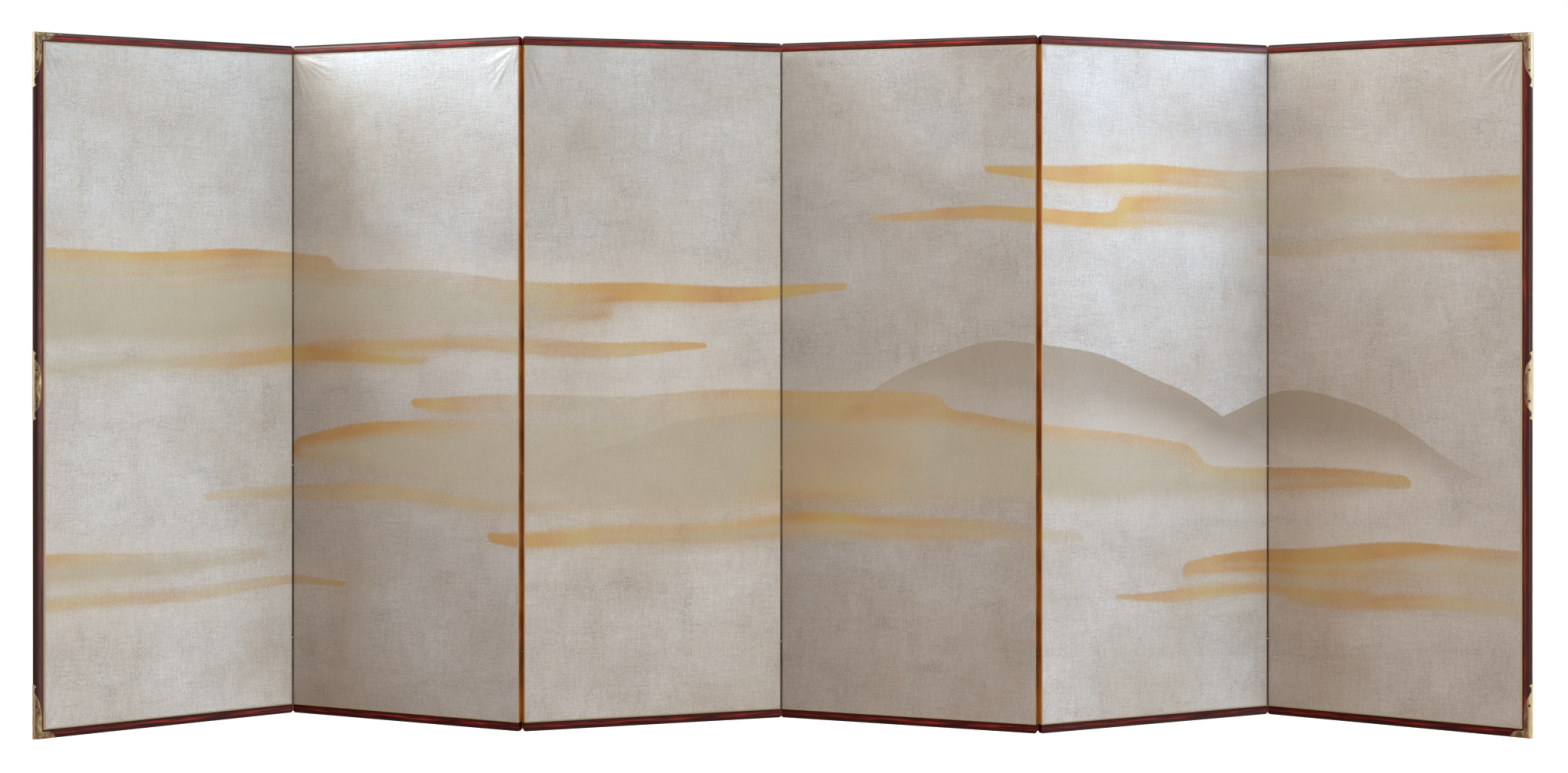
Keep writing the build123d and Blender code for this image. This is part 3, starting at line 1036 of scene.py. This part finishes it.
@dataclass(frozen=True)
class MistPainting:
    """Banks of mist over low hills, a traditional stock design of bars with rounded ends.

    Its places run along the unfolded screen from its left end, and up from the floor.
    """

    banks: tuple[MistBar, ...] = (
        # A bank high on the right, drawn out into fingers.
        MistBar(2.52, 3.62, 1.372, 0.030),
        MistBar(2.86, 4.30, 1.300, 0.062),
        MistBar(2.22, 3.36, 1.262, 0.022),
        MistBar(3.24, 4.00, 1.196, 0.034),
        # A broad one at the height of the eye on the left.
        MistBar(-0.60, 0.74, 1.150, 0.044),
        MistBar(-0.90, 1.50, 1.040, 0.100),
        MistBar(0.42, 2.10, 1.082, 0.030),
        MistBar(-0.60, 1.06, 0.908, 0.034),
        MistBar(0.74, 1.78, 0.948, 0.024),
        # The main one, low in the middle.
        MistBar(1.06, 2.40, 0.800, 0.036),
        MistBar(0.70, 3.04, 0.668, 0.130),
        MistBar(1.70, 3.62, 0.604, 0.056),
        MistBar(0.42, 1.94, 0.560, 0.032),
        MistBar(1.22, 2.70, 0.478, 0.040),
        # Short ones near the floor at both ends.
        MistBar(3.02, 4.40, 0.392, 0.058),
        MistBar(3.34, 4.30, 0.302, 0.030),
        MistBar(2.84, 3.52, 0.330, 0.018),
        MistBar(-0.50, 0.54, 0.404, 0.046),
        MistBar(-0.50, 0.80, 0.330, 0.020),
    )
    taper: float = 0.7
    join: float = 0.05
    # The hand-drawn edge wanders about a centimetre up and down, and three along.
    wander_up: Waves = ((0.010, 4.1, 0.0, 1.3), (0.005, 12.3, 9.1, 0.0))
    wander_along: Waves = ((0.03, 0.0, 9.3, 0.4), (0.012, 3.0, 21.0, 0.0))
    pool_waves: Waves = ((0.27, 5.3, 3.9, 0.4), (0.27, 3.1, -11.0, 2.0))
    drift_waves: tuple[Waves, Waves] = (((0.5, 2.3, 4.0, 0.8),), ((1.0, 1.1, -3.1, 0.0),))
    # A ridge's phases are as many times its hill's middle as the last number says.
    ridge_waves: Waves = ((0.010, 8.3, 0.0, 5.0), (0.004, 23.0, 0.0, 0.0))
    # The upper edge of a bank is crisp and its lower edge fades: it is where the mist deepens upward.
    look_up: float = 0.03
    lower_edge: tuple[float, float] = (-0.01, 0.02)
    hill_feet: float = 0.56
    # How high a hill's feet fade, where its sides fade, how far down its shade goes and what share of
    # it is left there, and how soft the ridge is.
    feet_fade: float = 0.2
    side_fade: float = 0.8
    shade_reach: float = 0.22
    least_shade: float = 0.4
    ridge_edge: tuple[float, float] = (-0.014, -0.004)
    hills: tuple[Hill, ...] = (Hill(2.62, 1.05, 0.40), Hill(3.36, 0.74, 0.26), Hill(1.86, 0.80, 0.22))

    def depth(self, along: np.ndarray, up: np.ndarray) -> np.ndarray:
        """How far inside the mist each place is, below 0 outside it.

        Args:
            along: places along the unfolded screen.
            up: heights.

        Returns:
            The depth, in metres.
        """
        u, z = along + swell(self.wander_along, along, up), up + swell(self.wander_up, along, up)
        deepest = np.full(along.shape, -1.0)
        for bar in self.banks:
            off, half = np.abs(u - (bar.start + bar.end) / 2), (bar.end - bar.start) / 2
            thick = bar.radius * (1 - self.taper * np.minimum(off / half, 1) ** 2)
            inside = thick - np.hypot(np.maximum(off - half, 0), z - bar.height)
            blend = np.clip(0.5 + 0.5 * (inside - deepest) / self.join, 0, 1)
            deepest = deepest + (inside - deepest) * blend + self.join * blend * (1 - blend)
        return deepest

    def measures(self, along: np.ndarray, up: np.ndarray) -> tuple[np.ndarray, ...]:
        """What the material needs at each place to draw the painting.

        Args:
            along: places along the unfolded screen.
            up: heights.

        Returns:
            The values in the order of PAINT_MEASURES: two depths in metres and four shares.
        """
        depth = self.depth(along, up)
        lower = smooth_step(*self.lower_edge, self.depth(along, up + self.look_up) - depth)
        slow, cross = (swell(waves, along, up) for waves in self.drift_waves)
        drift = 0.5 + slow * cross
        pools = 0.5 + swell(self.pool_waves, along, up)
        hill_depth, hill = np.full(along.shape, -1.0), np.zeros(along.shape)
        for each in self.hills:
            t = np.clip((along - each.middle) / each.half_width, -1, 1)
            uneven = swell(shifted(self.ridge_waves, each.middle), along, up)
            below = self.hill_feet + each.rise * np.cos(t * math.pi / 2) ** 2 + uneven - up
            feet = smooth_step(0.0, self.feet_fade, up - self.hill_feet)
            feet = feet * smooth_step(1.0, self.side_fade, np.abs(t))
            # A hill is darkest under its ridge and lost in mist at its feet.
            shade = self.least_shade + (1 - self.least_shade) * smooth_step(self.shade_reach, 0.0, below)
            hill = np.maximum(hill, smooth_step(*self.ridge_edge, below) * feet * shade)
            hill_depth = np.maximum(hill_depth, below)
        return depth, hill_depth, lower, hill, pools, drift


@dataclass(frozen=True)
class CreaseFan:
    """Pulls in the silk that spread from a corner, where it was drawn tight over its backing."""

    side: Side
    level: Level
    length: float
    height: float
    seed: int
    count: int = 7
    first_angle: float = 18.0
    spread: float = 58.0
    width: float = 3 * MM
    widening: float = 0.04
    # Where in its own part of the fan each pull lies, and its shares of the full length and height.
    stray: tuple[float, float] = (0.2, 0.8)
    lengths: tuple[float, float] = (0.55, 1.0)
    heights: tuple[float, float] = (0.45, 1.0)
    # The shares of its length at which a pull starts, stands highest and ends.
    crest: Triple = (0.02, 0.4, 1.0)

    def rise(self, x: np.ndarray, z: np.ndarray) -> np.ndarray:
        """How far the silk stands proud for these pulls.

        Args:
            x: distances from the corner, along the panel.
            z: distances from the corner, up or down.

        Returns:
            The rise at each place, in metres.
        """
        random = np.random.default_rng(self.seed)
        start, highest, end = self.crest
        total = np.zeros(x.shape)
        for i in range(self.count):
            step = (i + random.uniform(*self.stray)) / self.count
            angle = math.radians(self.first_angle + self.spread * step)
            reach = self.length * random.uniform(*self.lengths)
            high = self.height * random.uniform(*self.heights)
            along = x * math.cos(angle) + z * math.sin(angle)
            off = z * math.cos(angle) - x * math.sin(angle)
            wide = self.width + self.widening * np.maximum(along, 0)
            share = along / reach
            fade = smooth_step(start, highest, share) * (1 - smooth_step(highest, end, share))
            total = total + high * fade * np.exp(-((off / wide) ** 2))
        return total


@dataclass
class SilkFace:
    """The painted silk front of one panel: a fine sheet with pulls at its corners."""

    place: PanelPlace
    fans: tuple[CreaseFan, ...]
    painting: MistPainting
    silk: SilveredSilk = SilveredSilk()
    fine_step: float = 2.4 * MM
    wide_step: float = 7 * MM
    fine_reach: float = 0.15
    sag: float = 0.1 * MM
    # Each panel's phases are as many times its shift as the last number says.
    sag_waves: Waves = ((1.0, 11.0, 2.0, 1), (1.0, -3.1, 5.3, 2), (0.5, 24.0, -17.0, 3))
    panel_shift: float = 1.7
    # How far from the frame the silk is free to sag, and to be pulled.
    sag_from: float = 0.08
    pull_from: float = 6 * MM

    def build(self) -> bpy.types.Object:
        """Makes the piece, dresses it and puts it in its CAD node's place.

        Returns:
            The piece.
        """
        number = self.place.number
        node = f"front_face_{number}"
        face = FaceSize.of(node, self.place)
        across = graded(face.left, face.right, self.fine_step, self.wide_step, self.fine_reach)
        up = graded(face.bottom, face.top, self.fine_step, self.wide_step, self.fine_reach)
        x, z = np.meshgrid(across, up)
        front = face.outer - self.relief(x, z, face)
        mesh = slab(f"silk_face_{number}", self.place, (x, z), front, face.inner)
        self.measure_paint(mesh)
        piece = new_object(mesh.name, mesh)
        self.silk.put_on(piece, self.silk.build(self.place, face))
        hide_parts(node)
        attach(piece, self.place.body)
        return piece

    def relief(self, x: np.ndarray, z: np.ndarray, face: FaceSize) -> np.ndarray:
        """How far the silk stands proud of its plain plane.

        Args:
            x: places along the panel.
            z: heights.
            face: the size of the face.

        Returns:
            The relief at each place, in metres.
        """
        edge = np.minimum.reduce([x - face.left, face.right - x, z - face.bottom, face.top - z])
        shift = self.panel_shift * self.place.number
        sag = self.sag * swell(shifted(self.sag_waves, shift), x, z)
        total = sag * smooth_step(0.0, self.sag_from, edge)
        for fan in self.fans:
            off_x = x - face.left if fan.side is Side.LEFT else face.right - x
            off_z = face.top - z if fan.level is Level.TOP else z - face.bottom
            total = total + fan.rise(off_x, off_z)
        return total * smooth_step(0.0, self.pull_from, edge)

    def measure_paint(self, mesh: bpy.types.Mesh) -> None:
        """Writes on each vertex how far it lies inside the painting's shapes.

        Args:
            mesh: the silk's mesh, in the frame's axes.
        """
        own = self.place.own(vertices_of(mesh))
        along = (self.place.number - 0.5) * 2 * self.place.half_width + own[:, 0]
        for name, values in zip(PAINT_MEASURES, self.painting.measures(along, own[:, 2])):
            mesh.attributes.new(name, "FLOAT", "POINT").data.foreach_set("value", values.astype(np.float32))


@dataclass
class BackFace:
    """The printed paper back of one panel, which shows its lattice faintly."""

    place: PanelPlace
    paper: PrintedPaper = PrintedPaper()
    step: float = 9 * MM
    upright_slats: int = 4
    cross_slats: int = 12
    sag: float = 0.3 * MM

    def build(self) -> bpy.types.Object:
        """Makes the piece, dresses it and puts it in its CAD node's place.

        Returns:
            The piece.
        """
        number = self.place.number
        node = f"back_face_{number}"
        face = FaceSize.of(node, self.place)
        ends = ((face.left, face.right), (face.bottom, face.top))
        places = (np.linspace(low, high, round((high - low) / self.step) + 1) for low, high in ends)
        x, z = np.meshgrid(*places)
        cell_x = (x - face.left) / (face.right - face.left) * (self.upright_slats + 1)
        cell_z = (z - face.bottom) / (face.top - face.bottom) * (self.cross_slats + 1)
        # The paper dries tight on the slats and hollows a little between them.
        hollow = np.sin(cell_x * math.pi) ** 2 * np.sin(cell_z * math.pi) ** 2
        mesh = slab(f"paper_back_{number}", self.place, (x, z), face.outer - self.sag * hollow, face.inner)
        piece = new_object(mesh.name, mesh)
        self.paper.put_on(piece, self.paper.build(self.place))
        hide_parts(node)
        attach(piece, self.place.body)
        return piece


@dataclass
class PanelFrame:
    """The lacquered rails and stiles, paper edges and lattice of one panel, which stay CAD pieces."""

    place: PanelPlace
    lacquer: TransparentLacquer = TransparentLacquer()
    paper: HingePaper = HingePaper()
    cedar: PlanedCedar = PlanedCedar()

    def dress(self) -> list[str]:
        """Gives each piece its finish.

        Returns:
            The names of the pieces.
        """
        number = self.place.number
        height = float(points_of(f"top_rail_{number}")[:, 2].max())
        face = FaceSize.of(f"front_face_{number}", self.place)
        members = {f"{member.value}_{number}": member for member in (Member.TOP_RAIL, Member.BOTTOM_RAIL)}
        if number == 1:
            members["left_stile"] = Member.LEFT_STILE
        if number == PANEL_COUNT:
            members["right_stile"] = Member.RIGHT_STILE
        looks = {}
        for node, member in members.items():
            looks[node] = self.lacquer.build(self.place, member, face.bottom, height)
        clean = self.paper.build(self.place, Soil.NONE)
        # Valley leaves are dark at the front, with dirt and painted shade where the fold closes.
        soiled = self.paper.build(self.place, Soil.AT_FRONT, face.outer)
        for node in sorted(frame["nodes"]):
            if node == f"edge_paper_{number}" or node.endswith(f"_on_{number}"):
                in_valley = node.startswith(tuple(f"hinge_leaves_{fold}" for fold in VALLEYS))
                looks[node] = soiled if in_valley else clean
        looks[f"lattice_core_{number}"] = self.cedar.build(self.place)
        for node, material in looks.items():
            self.lacquer.put_on(frame["nodes"][node], material)
        return list(looks)


@dataclass
class FoldCrease:
    """The rolled paper on which one fold turns, from rail to rail.

    Its leaves take turns round the two edges, with a slit between one leaf and the next.
    """

    joint: dict[str, object]
    paper: HingePaper = HingePaper(name="crease_paper")
    radius: float = 0.95 * MM
    uneven: float = 0.03 * MM
    curl: Waves = ((1.0, 2.0, 31.0, 0.0), (1.0, 3.0, -57.0, 1.1))
    sides: int = 12
    step: float = 12 * MM
    ends: tuple[float, float] = (4 * MM, 1706 * MM)
    slits: tuple[float, ...] = (194 * MM, 634.7 * MM, 1075.3 * MM, 1516 * MM)
    ridge_slit: float = 0.3 * MM
    valley_slit: float = 1 * MM

    def build(self) -> bpy.types.Object:
        """Makes the piece, dresses it and lets it ride on the panel that carries the fold.

        Returns:
            The piece.
        """
        in_valley = self.joint["name"].endswith(VALLEYS)
        half = (self.valley_slit if in_valley else self.ridge_slit) / 2
        starts = (self.ends[0], *(z + half for z in self.slits))
        stops = (*(z - half for z in self.slits), self.ends[1])
        rings, faces = [], []
        turns = np.linspace(0, 2 * math.pi, self.sides, endpoint=False)
        for low, high in zip(starts, stops):
            heights = np.linspace(low, high, max(2, round((high - low) / self.step)))
            index = (len(rings) + np.arange(len(heights)))[:, None] * self.sides + np.arange(self.sides)
            for z in heights:
                reach = self.radius + self.uneven * swell(self.curl, turns, z)
                ring = [reach * np.cos(turns), reach * np.sin(turns), np.full(self.sides, z)]
                rings.append(np.stack(ring, axis=-1))
            following = np.roll(index, -1, axis=1)
            quads = np.stack([index[:-1], following[:-1], following[1:], index[1:]], axis=-1)
            faces += [tuple(quad) for quad in quads.reshape(-1, 4).tolist()]
            faces += [tuple(index[0, ::-1].tolist()), tuple(index[-1].tolist())]
        mesh = bpy.data.meshes.new(self.joint["name"].replace("fold", "fold_crease"))
        axis = np.array([*self.joint["pos_m"][:2], 0.0])
        mesh.from_pydata((np.concatenate(rings) + axis).tolist(), [], faces)
        mesh.polygons.foreach_set("use_smooth", [len(face) == 4 for face in faces])
        mesh.update()
        piece = new_object(mesh.name, mesh)
        body = self.joint["parent"]
        place = PanelPlace.of(int(body.rpartition("_")[2]))
        # A valley's crease is dark all over, with dirt and painted shade.
        self.paper.put_on(piece, self.paper.build(place, Soil.ALL_OVER if in_valley else Soil.NONE))
        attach(piece, body)
        return piece


@dataclass
class Metalwork:
    """The pierced brass fittings and their tacks at both ends of the screen, which stay CAD pieces."""

    brass: AgedBrass = AgedBrass()
    tack_brass: AgedBrass = AgedBrass(name="tack_brass", brass="#9C8564", edge_round=0.3 * MM)

    def dress(self) -> list[str]:
        """Gives the fittings and tacks their finish.

        Returns:
            The names of the pieces.
        """
        dressed = []
        for side, number in ((Side.LEFT, 1), (Side.RIGHT, PANEL_COUNT)):
            for finish, kind in ((self.brass, "fitting"), (self.tack_brass, "tacks")):
                material = finish.build(PanelPlace.of(number), side)
                for node in sorted(frame["nodes"]):
                    if kind in node and node.endswith(side.name.lower()):
                        finish.put_on(frame["nodes"][node], material)
                        dressed.append(node)
        return dressed


@dataclass(frozen=True)
class Softbox:
    """A soft lamp: its place, its aim, its size in metres, its power in watts and its colour."""

    name: str
    place: Triple
    aim: Triple
    width: float
    height: float
    power: float
    colour: str

    def hang(self) -> None:
        """Puts the lamp in the scene."""
        data = bpy.data.lights.new(self.name, "AREA")
        data.shape = "RECTANGLE"
        data.size = self.width
        data.size_y = self.height
        data.energy = self.power
        data.color = linear(self.colour)[:3]
        lamp = new_object(self.name, data)
        lamp.location = self.place
        lamp.rotation_euler = (Vector(self.aim) - Vector(self.place)).to_track_quat("-Z", "Y").to_euler()


@dataclass
class Studio:
    """The pale floor, the soft lights and the camera."""

    floor_half: float = 14.0
    floor_colours: tuple[str, str] = ("#F1F0EE", "#F4F3F1")
    floor_grain: float = 16.6667 * MM
    floor_streak_highlight: float = 1.0
    backdrop: float = 1.0
    eye: Triple = (0.001, -5.981, 1.1233)
    lens: float = 55.1
    sensor: float = 36.0
    shift_up: float = -0.0713
    # The colour and strength of what the floor, the walls and the ceiling throw back.
    floor_light: tuple[str, float] = ("#FFDDC4", 0.8)
    right_floor_light: tuple[str, float] = ("#FFFEFA", 1.88)
    left_wall_light: tuple[str, float] = ("#FFDBC0", 1.53)
    right_wall_light: tuple[str, float] = ("#FFFFFF", 0.25)
    ceiling_light: tuple[str, float] = ("#FFFFFF", 0.08)
    # Two on the left, one on the right, a low one in front, a long one overhead and one behind.
    lamps: tuple[Softbox, ...] = (
        Softbox("left_softbox", (-5.149, -0.724, 2.3), (-0.3, 0.0, 1.2), 1.8, 1.8, 117.8, "#C5E4FF"),
        Softbox("left_high_softbox", (-4.443, -1.191, 4.0), (-0.3, 0.0, 1.3), 1.6, 1.6, 77.0, "#FFFFEE"),
        Softbox("right_softbox", (5.023, -1.346, 2.3), (0.3, 0.0, 1.2), 1.8, 1.8, 89.3, "#DEEBFF"),
        Softbox("front_low_softbox", (2.8, -4.850, 0.8), (0.3, 0.0, 0.6), 2.0, 1.0, 31.3, "#FFF8E6"),
        Softbox("top_softbox", (0.0, -0.5, 2.7), (0.0, -0.3, 0.0), 5.0, 0.6, 30.8, "#ECFAFF"),
        Softbox("rear_softbox", (0.0, 3.6, 4.4), (0.0, 2.6, 0.0), 9.0, 5.0, 100.0, "#FFFFFF"),
    )

    def build(self) -> None:
        """Makes the whole studio."""
        self.floor()
        for lamp in self.lamps:
            lamp.hang()
        self.surround()
        self.camera()
        bpy.context.scene.view_settings.view_transform = "Standard"

    def floor(self) -> None:
        """Lays the floor that the screen stands on."""
        half = self.floor_half
        mesh = bpy.data.meshes.new("studio_floor")
        corners = [(-half, -half, 0), (half, -half, 0), (half, half, 0), (-half, half, 0)]
        mesh.from_pydata(corners, [], [(0, 1, 2, 3)])
        floor = new_object("studio_floor", mesh)
        material = bpy.data.materials.new("studio_floor")
        material.use_nodes = True
        tree = material.node_tree
        grain = add_node(tree, "TexNoise", {"Scale": 1 / self.floor_grain, "Detail": 4.0})
        looks = {
            "Base Color": add_node(tree, "ValToRGB", (grain,), tuple(zip((0.0, 1.0), self.floor_colours))),
            "Roughness": 0.7,
            "Emission Color": "#FFFFFF",
            "Emission Strength": self.floor_streak_highlight,
        }
        fill(tree, tree.nodes["Principled BSDF"], looks)
        mesh.materials.append(material)
        # The surround gives the light that comes up off the floor, so the floor itself gives none.
        floor.visible_diffuse = False
        floor.visible_glossy = False

    def surround(self) -> None:
        """Lights the screen from a pale floor, walls and a dim ceiling, and shows white behind it."""
        world = bpy.data.worlds.new("studio")
        bpy.context.scene.world = world
        world.use_nodes = True
        tree = world.node_tree
        tree.nodes.clear()
        way = add_node(tree, "TexCoord", output="Generated")
        x, z = (add_node(tree, "SeparateXYZ", (way,), output=axis) for axis in "XZ")
        below = add_node(tree, "Math", (z, 0.0), operation="LESS_THAN")
        toward = [add_node(tree, "MapRange", (x, 0.0, end)) for end in (-1.0, 1.0)]
        left, right = (add_node(tree, "Math", (share, 2.0), operation="POWER") for share in toward)
        both = add_node(tree, "Math", (left, right), operation="ADD")
        middle = add_node(tree, "Math", (1.0, both), operation="SUBTRACT")
        above = add_node(tree, "Math", (1.0, below), operation="SUBTRACT")
        # What is thrown back, how much of it comes from each way, and whether from below or above.
        shares = (
            (self.floor_light, middle, below),
            (self.right_floor_light, right, below),
            (self.left_wall_light, left, above),
            (self.right_wall_light, right, above),
            (self.ceiling_light, middle, above),
        )
        glows = []
        for (colour, strength), share, half in shares:
            amount = chain(tree, "Math", (share, half, strength), operation="MULTIPLY")
            glows.append(add_node(tree, "Background", {"Color": colour, "Strength": amount}))
        light = chain(tree, "AddShader", glows)
        seen = add_node(tree, "Background", {"Color": "#FFFFFF", "Strength": self.backdrop})
        ray = add_node(tree, "LightPath", output="Is Camera Ray")
        shown = add_node(tree, "MixShader", (ray, light, seen))
        fill(tree, tree.nodes.new("ShaderNodeOutputWorld"), {"Surface": shown})

    def camera(self) -> None:
        """Places the camera level, a little above half height, square to the screen's length."""
        data = bpy.data.cameras.new("camera")
        data.lens = self.lens
        data.sensor_width = self.sensor
        data.shift_y = self.shift_up
        camera = new_object("camera", data)
        camera.location = self.eye
        camera.rotation_euler = (math.pi / 2, 0.0, 0.0)
        bpy.context.scene.camera = camera


@dataclass
class FoldingScreen:
    """The whole screen, panel by panel from the left."""

    # How high and how long the silk's pulls are, where it was drawn tight and elsewhere.
    strong: float = 1.1 * MM
    weak: float = 0.5 * MM
    strong_length: float = 0.17
    weak_length: float = 0.10
    left_gain: float = 1.5
    painting: MistPainting = MistPainting()
    tight: frozenset[tuple[int, Side, Level]] = frozenset(
        (
            (1, Side.LEFT, Level.TOP),
            (2, Side.LEFT, Level.TOP),
            (2, Side.RIGHT, Level.TOP),
            (3, Side.LEFT, Level.TOP),
            (6, Side.RIGHT, Level.TOP),
        )
    )

    def fan(self, number: int, side: Side, level: Level) -> CreaseFan:
        """The pulls at one corner of a panel's silk.

        Args:
            number: the panel's number.
            side: the corner's side.
            level: its end of the height.

        Returns:
            The fan of pulls.
        """
        pulled = (number, side, level) in self.tight
        length = self.strong_length if pulled else self.weak_length
        height = (self.strong if pulled else self.weak) * (self.left_gain if side is Side.LEFT else 1)
        # Every corner has a seed of its own.
        seed = 40 * number + 10 * side.value + level.value + 100
        return CreaseFan(side, level, length, height, seed)

    def build(self) -> None:
        """Makes and dresses every panel and the metalwork."""
        for number in range(1, PANEL_COUNT + 1):
            place = PanelPlace.of(number)
            fans = tuple(self.fan(number, side, level) for level in Level for side in Side)
            LOG.info("%s", SilkFace(place, fans, self.painting).build().name)
            LOG.info("%s", BackFace(place).build().name)
            LOG.info("dressed %s", ", ".join(PanelFrame(place).dress()))
        for joint in frame["joints"]:
            LOG.info("%s", FoldCrease(joint).build().name)
        LOG.info("dressed %s", ", ".join(Metalwork().dress()))


def main() -> None:
    """Builds the screen and its studio."""
    logging.basicConfig(level=logging.INFO, format="%(message)s")
    FoldingScreen().build()
    Studio().build()


if __name__ == "__main__":
    main()
